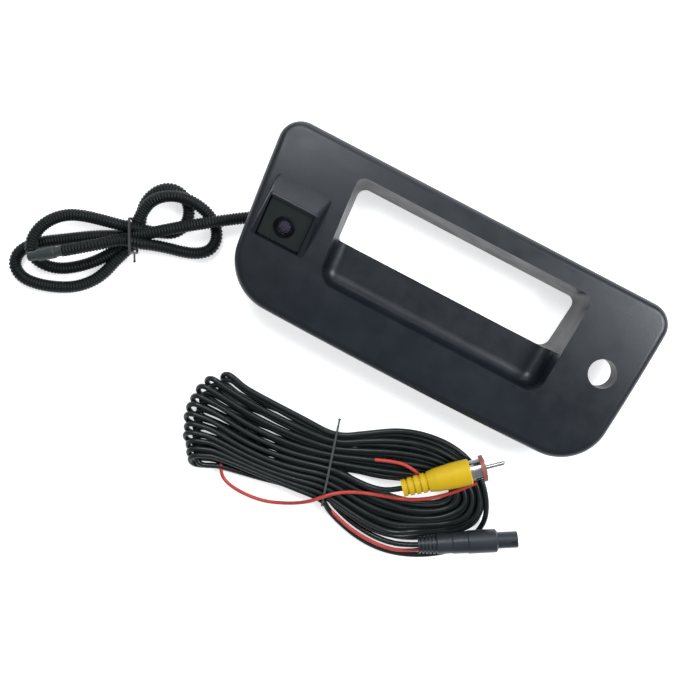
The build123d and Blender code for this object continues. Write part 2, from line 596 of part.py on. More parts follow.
PHONO = plug_plane(PHONO_REAR, PHONO_TURN, PHONO_Z)
CONNECTOR = plug_plane(CONNECTOR_REAR, CONNECTOR_TURN, CONNECTOR_Z)


def ribbed(r0, r1, length, rings, depth):
    """Profile points of a strain relief: a cone with square grooves."""
    points = []
    pitch = length / rings
    for i in range(rings):
        r = r0 + (r1 - r0) * i / (rings - 1)
        h = i * pitch
        points += [(r, h), (r, h + pitch * 0.62), (r - depth, h + pitch * 0.66), (r - depth, h + pitch)]
    return points


def phono_body():
    relief = ribbed(6.5, 7.5, 20.0, 4, 0.9)
    profile = [(0, 0)] + relief + [(7.7, 20.0), (PHONO_R - 0.9, 27.0), (PHONO_R, 40.0), (PHONO_R, PHONO_LENGTH - 1),
                                   (PHONO_R - 1, PHONO_LENGTH), (0, PHONO_LENGTH)]
    return turned(PHONO, profile) - tube("cable in plug", CABLE_TO_PLUG, CABLE_D)


def phono_shell():
    base = PHONO_LENGTH
    shell = turned(PHONO, [(PHONO_BORE_R, base), (PHONO_SHELL_R, base),
                           (PHONO_SHELL_R, base + PHONO_SHELL_REACH - 0.6),
                           (PHONO_SHELL_R - 0.5, base + PHONO_SHELL_REACH), (PHONO_BORE_R, base + PHONO_SHELL_REACH)])
    for turn in (45, 135):
        shell = shell - PHONO * Rot(0, 0, turn) * Pos(0, 0, base + 2.4) * Box(
            24, 2.0, 12, align=(Align.CENTER, Align.CENTER, Align.MIN))
    return shell


def phono_collar():
    """Red-brown ring pushed over the petals of the shell."""
    base = PHONO_LENGTH
    return turned(PHONO, [(PHONO_SHELL_R, base + 8.2), (PHONO_COLLAR_R, base + 8.2),
                          (PHONO_COLLAR_R, base + 11.2), (PHONO_SHELL_R, base + 11.2)])


def phono_insulator():
    base = PHONO_LENGTH
    return turned(PHONO, [(PHONO_NECK_R, base), (PHONO_BORE_R, base), (PHONO_BORE_R, base + PHONO_SEAT - 0.6),
                          (2.6, base + PHONO_SEAT), (PHONO_NECK_R, base + PHONO_SEAT)])


def phono_pin():
    base = PHONO_LENGTH
    seat, tip = base + PHONO_SEAT, base + PHONO_PIN_REACH
    return turned(PHONO, [(0, base), (PHONO_NECK_R, base), (PHONO_NECK_R, seat), (PHONO_PIN_R, seat),
                          (PHONO_PIN_R, tip - 1.4), (0.9, tip), (0, tip)])


def connector_relief():
    relief = ribbed(6.4, 7.4, 14.0, 5, 1.1)
    relief = turned(CONNECTOR, [(0, 0)] + relief + [(0, 14.0)]) - trigger_seat()
    return relief - tube("cable in relief", CABLE_TO_CONNECTOR, CABLE_D)


def trigger_seat():
    """The mouth in the relief's flank that the trigger wire comes out of."""
    return rod(TRIGGER_TO_CONNECTOR[0], TRIGGER_TO_CONNECTOR[1], TRIGGER_D / 2)


def connector_body():
    end = CONNECTOR_LENGTH
    profile = [(0, 14.0), (7.2, 14.0), (7.7, 15.0), (7.7, 26.0), (8.1, 27.0), (8.3, 38.0), (8.7, 39.0),
               (CONNECTOR_R, end - 4), (CONNECTOR_R, end - 1.2), (CONNECTOR_R - 1.2, end), (0, end)]
    return turned(CONNECTOR, profile)


def connector_nose():
    end = CONNECTOR_LENGTH
    nose = turned(CONNECTOR, [(NOSE_BORE_R, end), (NOSE_R, end), (NOSE_R, end + NOSE_LENGTH),
                              (NOSE_BORE_R, end + NOSE_LENGTH)])
    slot = Box(3, 1.4, 8, align=(Align.CENTER, Align.CENTER, Align.MIN))
    return nose - CONNECTOR * Pos(NOSE_R, 0, end + NOSE_LENGTH - 5) * slot


def connector_insert():
    end = CONNECTOR_LENGTH
    return turned(CONNECTOR, [(0, end), (NOSE_BORE_R, end), (NOSE_BORE_R, end + INSERT_T), (0, end + INSERT_T)])


def connector_pins():
    base = CONNECTOR_LENGTH + INSERT_T
    pins = [turned(CONNECTOR * Pos(u, v, 0), [(0, base), (0.45, base), (0.45, base + 6.2), (0.2, base + 6.6),
                                             (0, base + 6.6)]) for u, v in pin_places(2.0)]
    return Compound(children=pins)


def cable_hank():
    body = slab(HANK, HANK_TOP, 3.0) + slab(HANK_LAYER, HANK_LAYER_TOP, 1.5)
    for name, points, diameter in (("cable to connector in hank", CABLE_TO_CONNECTOR, CABLE_D),
                                   ("trigger to connector in hank", TRIGGER_TO_CONNECTOR, TRIGGER_D),
                                   ("trigger loop in hank", TRIGGER_LOOP, TRIGGER_D)):
        body = body - tube(name, points, diameter)
    return body - tie_space(HANK_TIE_AT, HANK_TIE_TURN, HANK_TIE_HALF)


def hank_tie():
    ring = strap_ring(HANK_TIE_AT, HANK_TIE_TURN, HANK_TIE_HALF, 0, HANK_TOP + TIE_WIRE + 0.2, TIE_WIRE, TIE_WIRE)
    return ring + twisted_ends(HANK_TIE_AT, HANK_TIE_TURN + 180, HANK_TIE_HALF + TIE_WIRE - 0.3, 9.0, 6.0)


NODES = {
    "bezel_shell": bezel_shell,
    "spring_clips": spring_clips,
    "camera_front_housing": camera_front_housing,
    "camera_rear_housing": camera_rear_housing,
    "housing_seal": housing_seal,
    "housing_screws": housing_screws,
    "lens_trim_ring": lens_trim_ring,
    "lens_barrel": lens_barrel,
    "front_lens": lambda: lens_disc(GLASS_R, -2.5, -0.4, bulge_front=0.9),
    "second_lens": lambda: lens_disc(4.15, -5.2, -3.6, bulge_front=0.5),
    "lens_spacer": lens_spacer,
    "third_lens": lambda: lens_disc(4.15, -8.6, -6.9, bulge_front=0.5, bulge_rear=0.4),
    "lens_holder": lens_holder,
    "ir_filter": lambda: LENS * Pos(0, 0, BOARD_FRONT + 1.1) * Box(8.6, 8.6, 0.4),
    "image_sensor": lambda: LENS * Pos(0, 0, BOARD_FRONT + 0.4) * Box(6.6, 5.8, 0.8),
    "sensor_board": sensor_board,
    "board_components": board_components,
    "board_socket": board_socket,
    "cable_gland": cable_gland,
    "pivot_screws": pivot_screws,
    "camera_bracket": camera_bracket,
    "bracket_screws": bracket_screws,
    "camera_lead": camera_lead,
    "loom_strap": loom_strap,
    "loom_run": lambda: tube("loom_run", LOOM_RUN, LOOM_D),
    "loom_bundle": loom_bundle,
    "loom_tail": lambda: tube("loom_tail", LOOM_TAIL, LOOM_D),
    "loom_tie": loom_tie,
    "pigtail_boot": pigtail_boot,
    "pigtail_connector": pigtail_connector,
    "pigtail_contacts": pigtail_contacts,
    "cable_hank": cable_hank,
    "hank_tie": hank_tie,
    "cable_to_connector": lambda: tube("cable_to_connector", CABLE_TO_CONNECTOR, CABLE_D),
    "cable_to_plug": lambda: tube("cable_to_plug", CABLE_TO_PLUG, CABLE_D),
    "trigger_to_connector": lambda: tube("trigger_to_connector", TRIGGER_TO_CONNECTOR, TRIGGER_D),
    "trigger_loop": lambda: tube("trigger_loop", TRIGGER_LOOP, TRIGGER_D),
    "trigger_stray": lambda: tube("trigger_stray", TRIGGER_STRAY, TRIGGER_D),
    "phono_body": phono_body,
    "phono_shell": phono_shell,
    "phono_collar": phono_collar,
    "phono_insulator": phono_insulator,
    "phono_pin": phono_pin,
    "connector_relief": connector_relief,
    "connector_body": connector_body,
    "connector_nose": connector_nose,
    "connector_insert": connector_insert,
    "connector_pins": connector_pins,
}

for node, make in NODES.items():
    write(node, make())
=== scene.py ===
import random
from math import cos, radians, sin, tan, tau

import bmesh
import bpy
from mathutils import Matrix, Vector


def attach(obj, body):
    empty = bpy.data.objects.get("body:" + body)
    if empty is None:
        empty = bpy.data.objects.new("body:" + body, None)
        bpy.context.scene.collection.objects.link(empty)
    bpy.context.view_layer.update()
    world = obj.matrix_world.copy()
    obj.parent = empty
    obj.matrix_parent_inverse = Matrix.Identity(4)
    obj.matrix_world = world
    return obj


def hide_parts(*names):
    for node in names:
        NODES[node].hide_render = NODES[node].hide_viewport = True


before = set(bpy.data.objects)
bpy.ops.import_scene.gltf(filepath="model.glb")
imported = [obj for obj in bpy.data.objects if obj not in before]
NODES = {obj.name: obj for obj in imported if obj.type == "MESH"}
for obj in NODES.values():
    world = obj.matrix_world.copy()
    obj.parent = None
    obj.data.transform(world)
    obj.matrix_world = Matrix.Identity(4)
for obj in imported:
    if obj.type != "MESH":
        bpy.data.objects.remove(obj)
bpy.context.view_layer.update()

# Looks for a tailgate-handle bezel with a backup camera: metres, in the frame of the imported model.
MM = 0.001
SCENE = bpy.context.scene

# ---- camera and stage ----------------------------------------------------------
CAMERA_AT = Vector((-0.0507, -0.0044, 0.6258))
CAMERA_AIM = Vector((-0.0511, -0.0281, 0.042))
CAMERA_UP = Vector((-0.4636, 0.886, 0.0))
FOCAL_LENGTH, SENSOR_WIDTH = 42.34, 36.0      # millimetres, as Blender has them
CAMERA_SHIFT = (-0.03, -0.06)
CLIP_START = 0.01
FLOOR_HALF = 3.0
FLOOR_COLOUR, FLOOR_ROUGHNESS, FLOOR_GLOW = (0.93, 0.93, 0.93), 0.8, 0.6
WORLD_COLOUR, WORLD_STRENGTH = (0.90, 0.95, 1.0, 1), 0.35
LIGHT_COLOUR = (0.93, 0.97, 1.0)
# each light's name, place, aim, width and height, and power in watts
LIGHTS = [
    ("key", (-0.48, 0.50, 1.05), (-0.08, -0.02, 0.0), (0.4, 0.4), 7.0),
    ("side", (0.62, 0.42, 0.8), (0.1, 0.0, 0.0), (0.4, 0.3), 8.5),
    ("back", (-0.25, 0.95, 0.3), (-0.08, 0.0, 0.03), (0.9, 0.4), 2.6),
]

# ---- cords, in millimetres: the CAD tubes follow these routes, and the coils lie in the bundle's solid ----
LOOM_D, CABLE_D, TRIGGER_D = 9.5, 4.2, 2.8
LOOM_RUN = [(-141.0, -4.5, 11.0), (-151.0, -10.2, 10.8), (-161.5, -17.0, 11.6), (-171.0, -23.9, 13.4)]
LOOM_TAIL = [(-233.5, -72.8, 14.6), (-242.0, -80.2, 18.8), (-250.3, -87.3, 23.2), (-259.0, -94.2, 24.5),
             (-267.2, -100.5, 24.5)]
LOOM_COILS = [
    # out to the far left, round and back under the tie
    (-178.5, -29.3, 14.6), (-189, -37, 14.6), (-200, -45, 14.5), (-212, -54.5, 14.0),
    (-220.8, -62, 12), (-229.3, -67.2, 9.6), (-240, -73, 6), (-252, -79, 4.75),
    (-265, -87, 4.75), (-279, -96.5, 4.75), (-291, -104.5, 4.75), (-300, -112, 4.75),
    (-305.5, -122, 4.75), (-303.5, -132, 4.75), (-294, -137.5, 4.75), (-281, -136.5, 4.75),
    (-267, -132, 4.75), (-253.5, -125, 4.75), (-243.5, -115, 4.75), (-237.5, -104, 4.75),
    (-234.5, -92, 4.75), (-230.5, -81, 4.75), (-227.5, -72, 4.75),
    # the small loop on the bezel's side
    (-229, -60, 4.75), (-233.5, -48.5, 4.75), (-234, -37.5, 4.75), (-229, -26.5, 4.75),
    (-219.5, -20.5, 4.75), (-208, -22.5, 4.75), (-200, -31, 4.75), (-198, -42, 4.75),
    (-203, -51.5, 4.75), (-213, -56, 4.75), (-222, -59.3, 7),
    # the middle loop, over the first
    (-232, -61.8, 10.5), (-243, -64.8, 13.8), (-256, -67.6, 14.3), (-268.5, -70.8, 14.3),
    (-280, -75.5, 14.3), (-289.5, -84, 14.3), (-295.5, -95, 14.3), (-296.5, -106.5, 14.3),
    (-292.5, -116.5, 13), (-283, -120.5, 7), (-271, -118, 4.75), (-259.5, -110.5, 4.75),
    (-249.5, -101, 4.75), (-241.5, -90.5, 4.75), (-235, -79.5, 4.9),
    # the large loop round the small one, and back to the tie
    (-231.5, -69, 4.9), (-232.5, -57.5, 6.5), (-231.5, -46.5, 9), (-228.5, -37, 13),
    (-220.5, -28.5, 14.3), (-209.5, -23.5, 14.3), (-198, -22.5, 13.3), (-186.5, -25, 9),
    (-177, -31, 5.2), (-171.5, -40, 4.75), (-172, -50, 4.75), (-179.5, -57, 4.75),
    (-190, -61, 4.9), (-201, -63.5, 7), (-212, -66.5, 11.5), (-222, -70.5, 14.6),
]
CABLE_TO_CONNECTOR = [(76.5, -177.0, 13.4), (65.4, -183.7, 12.0), (51.5, -188.4, 7.8), (36.0, -189.8, 3.9),
                      (19.0, -187.6, 2.4), (2.0, -182.0, 2.3)]
CABLE_TO_PLUG = [(43.5, -141.0, 24.8), (35.0, -148.4, 22.6), (24.5, -152.6, 19.0), (12.0, -154.2, 16.7),
                 (0.0, -154.4, 16.4)]
TRIGGER_TO_CONNECTOR = [(80.8, -180.2, 9.8), (69.0, -189.2, 7.4), (53.5, -193.6, 5.8), (35.5, -194.2, 5.6),
                        (16.5, -191.2, 5.5), (-1.0, -185.2, 5.5)]
TRIGGER_LOOP = [(-88.0, -194.0, 7.0), (-85.5, -203.0, 3.0), (-74.0, -208.2, 1.5), (-59.0, -208.6, 1.5),
                (-44.0, -206.4, 1.5), (-31.0, -200.4, 3.6), (-21.0, -193.0, 10.4), (-12.5, -184.5, 16.8),
                (-7.0, -177.5, 18.2), (1.0, -170.0, 17.4), (12.0, -163.6, 15.7), (26.0, -158.0, 15.6),
                (41.0, -153.4, 15.6), (56.0, -147.6, 15.6), (70.0, -138.4, 15.6), (83.0, -125.8, 15.6),
                (93.5, -112.6, 15.6)]
TRIGGER_STRAY = [(16.0, -133.4, 15.5), (30.0, -127.4, 15.5), (43.0, -125.6, 15.5), (55.0, -128.4, 15.5)]

# ---- the hank, in millimetres: its waist at the tie, its right end's loops, its left end's fan ----
HANK_SEED = 11
HANK_MIDDLE = Vector((-11.9, -155.3))
HANK_ACROSS = Vector((-0.276, 0.961))
HANK_TIPS = 21
WAIST_HALF = 25.2
LOW_Z, LOW_Z_ODD, HIGH_Z, HIGH_Z_ODD = 2.15, 5.4, 11.8, 8.6
HANK_START = Vector((-12.0, -174.0, LOW_Z))
OUTER_LOOP = [(2, -118.5), (24, -104.5), (46, -97), (68, -97.3), (89, -103.5), (104.5, -116), (112, -131.5),
              (111, -146), (101, -158.5), (88.5, -168), (74.5, -177.5), (59, -185), (39.5, -187.8),
              (18.5, -185.2)]
INNER_LOOP = [(8, -150), (24, -146.5), (42, -139.5), (57, -132), (69, -127), (79, -126.5), (83, -132),
              (79.5, -139), (72, -145), (63, -149.5), (53, -153), (41, -155), (27, -156.5), (13, -157.5)]
LOOP_SHAKE = 0.6
# the outermost turn leaves OUTER_LOOP before this point and goes under the connector
LEAVES_LOOP_AT = 6
UNDER_CONNECTOR = [(114.0, -133.0, 8.0), (116.0, -146.5, LOW_Z), (111.5, -160.0, LOW_Z),
                   (103.0, -172.5, LOW_Z), (92.0, -181.5, LOW_Z), (79.0, -189.0, LOW_Z),
                   (65.0, -194.5, LOW_Z), (50.0, -197.4, LOW_Z), (33.0, -197.0, LOW_Z),
                   (16.0, -193.2, 2.6), (3.0, -187.8, 5.5)]
CONNECTOR_REAR, CONNECTOR_WAY = Vector((76.5, -177.0)), Vector((cos(radians(31.2)), sin(radians(31.2))))
# how far behind the connector's rear strands are lowered, how far aside, and over what width they rise again
LOWERED_BEHIND, LOWERED_ASIDE, RISE_WIDTH = 8.0, 10.0, 6.0
FAN_TIPS = [(-119.5, -131.5), (-132, -144.5), (-133, -157.5), (-131.5, -168.5), (-127.5, -179.5),
            (-123.5, -189), (-118, -197), (-113, -204)]
# a tip's loop: half its width, how far odd tips are set back, and any tip at random
TIP_HALF, TIP_HALF_ODD, TIP_HALF_SHAKE = 4.6, 6.2, (-0.2, 0.6)
ODD_SET_BACK, SET_BACK_SHAKE = 7.0, 3.0
# the loop's neck behind its tip, as a distance and a share of the half width
NECK_BACK, NECK_SHARE = 20.0, 0.95
# the corner points of a turn are part of an octagon, and its shoulders lie this many radii behind the tip
TURN_CORNER, SHOULDER_BACK = tan(tau / 16), 1.7
# the middle strands of the fan bow by a quarter of the sag, towards the lower edge
FAN_SAG, FAN_SHAKE = -24.0, 0.7
THIRDS = (0.33, 0.66)


def cord_curve(name, points, diameter, material):
    """A round cord: one open NURBS spline with the route's points as its control points."""
    data = bpy.data.curves.new(name, "CURVE")
    data.dimensions = "3D"
    spline = data.splines.new("NURBS")
    spline.points.add(len(points) - 1)
    for place, point in zip(spline.points, points):
        place.co = (*(Vector(point) * MM), 1.0)
    spline.order_u = 3
    spline.use_endpoint_u = True
    spline.resolution_u = 8
    data.bevel_depth = diameter / 2 * MM
    data.bevel_resolution = 4
    data.use_fill_caps = True
    piece = bpy.data.objects.new(name, data)
    SCENE.collection.objects.link(piece)
    if material:
        data.materials.append(material)
    return piece


def spline_points(points):
    """The smooth line of a route, as points in metres."""
    guide = cord_curve("guide", points, 0.0, None)
    guide.data.splines[0].resolution_u = 16
    guide.data.use_fill_caps = False
    bpy.context.view_layer.update()
    mesh = bpy.data.meshes.new_from_object(guide)
    line = [v.co.copy() for v in mesh.vertices]
    bpy.data.meshes.remove(mesh)
    bpy.data.objects.remove(guide)
    return line


def line_length(line):
    return sum((b - a).length for a, b in zip(line, line[1:]))


def even_points(line, step):
    """Points a step apart along a line, from its start to its end."""
    total = line_length(line)
    count = round(total / step)
    spacing = total / count
    points, walked, i = [line[0].copy()], 0.0, 0
    for k in range(1, count):
        target = k * spacing
        while walked + (line[i + 1] - line[i]).length < target:
            walked += (line[i + 1] - line[i]).length
            i += 1
        share = (target - walked) / (line[i + 1] - line[i]).length
        points.append(line[i].lerp(line[i + 1], share))
    return points + [line[-1].copy()]


def carried_frames(line):
    """Two directions across a line at each of its points, carried along it without twist."""
    steps = [(b - a).normalized() for a, b in zip(line, line[1:])]
    middles = [(a + b).normalized() for a, b in zip(steps, steps[1:])]
    tangents = [steps[0]] + middles + [steps[-1]]
    side = tangents[0].cross(Vector((0, 0, 1))).normalized()
    frames = []
    for tangent in tangents:
        side = (side - tangent * side.dot(tangent)).normalized()
        frames.append((side.copy(), tangent.cross(side).normalized()))
    return frames


def tube_mesh(name, line, radii, sides, material):
    """A closed tube whose radius may change from ring to ring."""
    mesh = bmesh.new()
    rings = []
    for point, (side, up), radius in zip(line, carried_frames(line), radii):
        angles = [tau * k / sides for k in range(sides)]
        rings.append([mesh.verts.new(point + side * radius * cos(a) + up * radius * sin(a)) for a in angles])
    for first, second in zip(rings, rings[1:]):
        for k in range(sides):
            mesh.faces.new((first[k], first[(k + 1) % sides], second[(k + 1) % sides], second[k]))
    mesh.faces.new(rings[0][::-1])
    mesh.faces.new(rings[-1])
    data = bpy.data.meshes.new(name)
    bmesh.ops.recalc_face_normals(mesh, faces=mesh.faces)
    mesh.to_mesh(data)
    mesh.free()
    for face in data.polygons:
        face.use_smooth = len(face.vertices) == 4
    data.materials.append(material)
    piece = bpy.data.objects.new(name, data)
    SCENE.collection.objects.link(piece)
    return piece


# ---- materials -------------------------------------------------------------------
class Finish:
    """A Principled material with its pattern nodes, in the object's own metres."""

    def __init__(self, name, colour, roughness, **inputs):
        self.material = bpy.data.materials.new(name)
        self.material.use_nodes = True
        self.nodes = self.material.node_tree.nodes
        self.links = self.material.node_tree.links
        self.shader = self.nodes["Principled BSDF"]
        self.shader.inputs["Base Color"].default_value = (*colour, 1)
        self.shader.inputs["Roughness"].default_value = roughness
        for key, value in inputs.items():
            self.shader.inputs[key.replace("_", " ")].default_value = value
        self.place = self.nodes.new("ShaderNodeTexCoord").outputs["Object"]
        self.colour, self.roughness = colour, roughness
        self.normal = None

    def noise(self, scale, detail=3.0, stretch=None):
        node = self.nodes.new("ShaderNodeTexNoise")
        node.inputs["Scale"].default_value = scale
        node.inputs["Detail"].default_value = detail
        source = self.place
        if stretch:
            mapping = self.nodes.new("ShaderNodeMapping")
            mapping.inputs["Scale"].default_value = stretch
            self.links.new(source, mapping.inputs["Vector"])
            source = mapping.outputs["Vector"]
        self.links.new(source, node.inputs["Vector"])
        return node.outputs["Fac"]

    def ramp(self, value, low, high, at=(0.35, 0.65)):
        node = self.nodes.new("ShaderNodeMapRange")
        node.inputs["From Min"].default_value, node.inputs["From Max"].default_value = at
        node.inputs["To Min"].default_value, node.inputs["To Max"].default_value = low, high
        self.links.new(value, node.inputs["Value"])
        return node.outputs["Result"]

    def vary_roughness(self, value, spread):
        self.links.new(self.ramp(value, self.roughness - spread, self.roughness + spread),
                       self.shader.inputs["Roughness"])
        return self

    def vary_colour(self, value, other):
        node = self.nodes.new("ShaderNodeMix")
        node.data_type = "RGBA"
        node.inputs["A"].default_value = (*self.colour, 1)
        node.inputs["B"].default_value = (*other, 1)
        self.links.new(self.ramp(value, 0.0, 1.0, at=(0.3, 0.7)), node.inputs["Factor"])
        self.links.new(node.outputs["Result"], self.shader.inputs["Base Color"])
        return self

    def bump(self, value, height):
        node = self.nodes.new("ShaderNodeBump")
        node.inputs["Strength"].default_value = 1.0
        node.inputs["Distance"].default_value = height
        self.links.new(value, node.inputs["Height"])
        if self.normal:
            self.links.new(self.normal, node.inputs["Normal"])
        self.normal = node.outputs["Normal"]
        self.links.new(self.normal, self.shader.inputs["Normal"])
        return self


def grained(name, colour, roughness, grain, height, other=None, **inputs):
    """Moulded plastic: a fine grain, with broader changes of gloss, and broader still of colour."""
    finish = Finish(name, colour, roughness, **inputs)
    finish.bump(finish.noise(grain, detail=4.0), height)
    finish.vary_roughness(finish.noise(grain * 0.04), spread=0.05)
    finish.vary_colour(finish.noise(grain * 0.02), other or [c * 1.25 for c in colour])
    return finish.material


def metal(name, colour, roughness, stretch=(1, 1, 1)):
    """Plated or brushed metal with fine scratches."""
    finish = Finish(name, colour, roughness, Metallic=1.0)
    finish.bump(finish.noise(2500, detail=2.0, stretch=stretch), height=4e-6)
    finish.vary_roughness(finish.noise(300, detail=4.0, stretch=stretch), spread=0.08)
    return finish.vary_colour(finish.noise(120), [c * 0.82 for c in colour]).material


def glass(name, colour, roughness):
    """Clear glass with the faintest unevenness."""
    finish = Finish(name, colour, roughness, IOR=1.5, Transmission_Weight=1.0)
    finish.bump(finish.noise(400, detail=2.0), height=1e-6)
    return finish.vary_roughness(finish.noise(200), spread=roughness * 0.5).material


# a grained finish has its colour, roughness, the grain's scale per metre and its height in metres,
# and for some a second colour that it varies towards
MATERIALS = {
    "bezel_plastic": grained("bezel_plastic", (0.0045, 0.0078, 0.0125), 0.39, 1500, 50e-6,
                             (0.0058, 0.0095, 0.0148)),
    "camera_plastic": grained("camera_plastic", (0.009, 0.014, 0.013), 0.40, 2200, 14e-6),
    "lens_plastic": grained("lens_plastic", (0.003, 0.0035, 0.005), 0.55, 3000, 4e-6,
                            Specular_IOR_Level=0.15),
    "lens_glass": glass("lens_glass", (0.80, 0.78, 0.95), 0.03),
    "filter_glass": glass("filter_glass", (0.55, 0.8, 0.85), 0.05),
    "sensor_chip": grained("sensor_chip", (0.03, 0.03, 0.05), 0.2, 4000, 2e-6),
    "board_green": grained("board_green", (0.01, 0.09, 0.035), 0.35, 3000, 6e-6, (0.02, 0.13, 0.05)),
    "chip_black": grained("chip_black", (0.012, 0.012, 0.013), 0.6, 5000, 8e-6),
    "socket_white": grained("socket_white", (0.7, 0.67, 0.55), 0.5, 3000, 6e-6),
    "seal_rubber": grained("seal_rubber", (0.010, 0.010, 0.011), 0.75, 2500, 12e-6),
    "screw_steel": metal("screw_steel", (0.62, 0.62, 0.63), 0.3),
    "clip_steel": metal("clip_steel", (0.38, 0.39, 0.42), 0.35, (1, 6, 1)),
    "bracket_steel": metal("bracket_steel", (0.55, 0.56, 0.58), 0.38, (6, 1, 1)),
    "lead_black": grained("lead_black", (0.012, 0.013, 0.014), 0.4, 2500, 8e-6),
    "strap_nylon": grained("strap_nylon", (0.011, 0.011, 0.012), 0.45, 3000, 10e-6),
    "loom_black": grained("loom_black", (0.003, 0.0052, 0.0055), 0.48, 2600, 10e-6,
                          Specular_IOR_Level=0.24),
    "tie_dark": grained("tie_dark", (0.045, 0.042, 0.046), 0.45, 3000, 8e-6),
    "pigtail_grey": grained("pigtail_grey", (0.026, 0.032, 0.032), 0.42, 2600, 10e-6),
    "contact_brass": metal("contact_brass", (0.78, 0.60, 0.28), 0.28),
    "cable_black": grained("cable_black", (0.0048, 0.0082, 0.0084), 0.38, 1600, 10e-6,
                           Specular_IOR_Level=0.45),
    "tie_grey": grained("tie_grey", (0.055, 0.068, 0.066), 0.42, 3000, 10e-6),
    "trigger_red": grained("trigger_red", (0.50, 0.045, 0.035), 0.36, 2500, 8e-6, (0.58, 0.065, 0.05)),
    "phono_yellow": grained("phono_yellow", (0.64, 0.41, 0.006), 0.5, 2200, 10e-6, (0.68, 0.44, 0.008),
                            Specular_IOR_Level=0.3),
    "plug_nickel": metal("plug_nickel", (0.50, 0.49, 0.48), 0.28),
    "collar_red": grained("collar_red", (0.26, 0.075, 0.06), 0.4, 2600, 10e-6),
    "insulator_grey": grained("insulator_grey", (0.55, 0.55, 0.52), 0.45, 2600, 8e-6),
    "connector_charcoal": grained("connector_charcoal", (0.016, 0.021, 0.026), 0.40, 2000, 14e-6),
    "insert_black": grained("insert_black", (0.008, 0.008, 0.009), 0.5, 2600, 8e-6),
}

NODE_FINISH = {
    "bezel_plastic": ["bezel_shell"],
    "clip_steel": ["spring_clips"],
    "bracket_steel": ["camera_bracket"],
    "screw_steel": ["bracket_screws", "housing_screws", "pivot_screws"],
    "lead_black": ["camera_lead"],
    "strap_nylon": ["loom_strap"],
    "loom_black": ["loom_run", "loom_bundle", "loom_tail"],
    "tie_dark": ["loom_tie"],
    "pigtail_grey": ["pigtail_boot", "pigtail_connector"],
    "contact_brass": ["pigtail_contacts", "connector_pins"],
    "camera_plastic": ["camera_front_housing", "camera_rear_housing"],
    "seal_rubber": ["housing_seal", "cable_gland"],
    "lens_plastic": ["lens_trim_ring", "lens_barrel", "lens_spacer", "lens_holder"],
    "lens_glass": ["front_lens", "second_lens", "third_lens"],
    "filter_glass": ["ir_filter"],
    "sensor_chip": ["image_sensor"],
    "board_green": ["sensor_board"],
    "chip_black": ["board_components"],
    "socket_white": ["board_socket"],
    "cable_black": ["cable_hank", "cable_to_connector", "cable_to_plug"],
    "tie_grey": ["hank_tie"],
    "trigger_red": ["trigger_to_connector", "trigger_loop", "trigger_stray"],
    "phono_yellow": ["phono_body"],
    "plug_nickel": ["phono_shell", "phono_pin"],
    "collar_red": ["phono_collar"],
    "insulator_grey": ["phono_insulator"],
    "connector_charcoal": ["connector_relief", "connector_body", "connector_nose"],
    "insert_black": ["connector_insert"],
}

for slot, names in NODE_FINISH.items():
    for name in names:
        materials = NODES[name].data.materials
        materials.clear()
        materials.append(MATERIALS[slot])


# ---- foam round the camera's recess ------------------------------------------------
POD_X, PANEL_Y, PANEL_Z, POD_TILT = -124.4, -5.6, 46.0, radians(23.0)
# each ring round the foam's section: half its width, its lower and upper edge, and its depth, in millimetres
FOAM_RINGS = [(18.8, -17.4, 18.0, -1.5), (18.8, -17.4, 18.0, -5.2), (15.4, -14.6, 15.0, -5.2),
              (15.4, -14.6, 15.0, -4.4), (17.65, -16.25, 16.85, -4.4), (17.65, -16.25, 16.85, -1.5)]


def on_panel(u, v, w):
    """A point given across, up and out of the tilted camera panel in millimetres, as a place in metres."""
    return Vector((POD_X + u, PANEL_Y + v * cos(POD_TILT) - w * sin(POD_TILT),
                   PANEL_Z + v * sin(POD_TILT) + w * cos(POD_TILT))) * MM


def make_foam():
    """A foam frame under the recess's edge, which closes the gap round the camera's panel."""
    mesh = bmesh.new()
    rings = []
    for half, low, high, depth in FOAM_RINGS:
        corners = ((half, low), (half, high), (-half, high), (-half, low))
        rings.append([mesh.verts.new(on_panel(u, v, depth)) for u, v in corners])
    for first, second in zip(rings, rings[1:] + rings[:1]):
        for k in range(4):
            mesh.faces.new((first[k], first[(k + 1) % 4], second[(k + 1) % 4], second[k]))
    bmesh.ops.recalc_face_normals(mesh, faces=mesh.faces)
    data = bpy.data.meshes.new("camera_foam")
    mesh.to_mesh(data)
    mesh.free()
    data.materials.append(MATERIALS["seal_rubber"])
    foam = bpy.data.objects.new("camera_foam", data)
    SCENE.collection.objects.link(foam)
    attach(foam, "bezel")


# ---- loom ------------------------------------------------------------------------
LOOM_SIDES = 24
RIDGE_PITCH = 2.3 * MM
# the radii of one ridge and its valley, in millimetres
RIDGE_PROFILE = [4.1, 4.1, 4.55, 4.75, 4.75, 4.55]


def make_loom():
    """The whole corrugated loom, from the bezel's edge through its bundle to the grey sleeve."""
    line = spline_points(LOOM_RUN + LOOM_COILS + LOOM_TAIL)
    line = even_points(line, RIDGE_PITCH / len(RIDGE_PROFILE))
    radii = [RIDGE_PROFILE[i % len(RIDGE_PROFILE)] * MM for i in range(len(line))]
    loom = tube_mesh("loom_tube", line, radii, LOOM_SIDES, MATERIALS["loom_black"])
    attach(loom, "bezel")
    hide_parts("loom_run", "loom_bundle", "loom_tail")


# ---- video cable -------------------------------------------------------------------
def layer_z(turn, high):
    """The height of a turn's upper or lower strand: odd turns lie between the layers of the even ones."""
    if high:
        return HIGH_Z_ODD if turn % 2 else HIGH_Z
    return LOW_Z_ODD if turn % 2 else LOW_Z


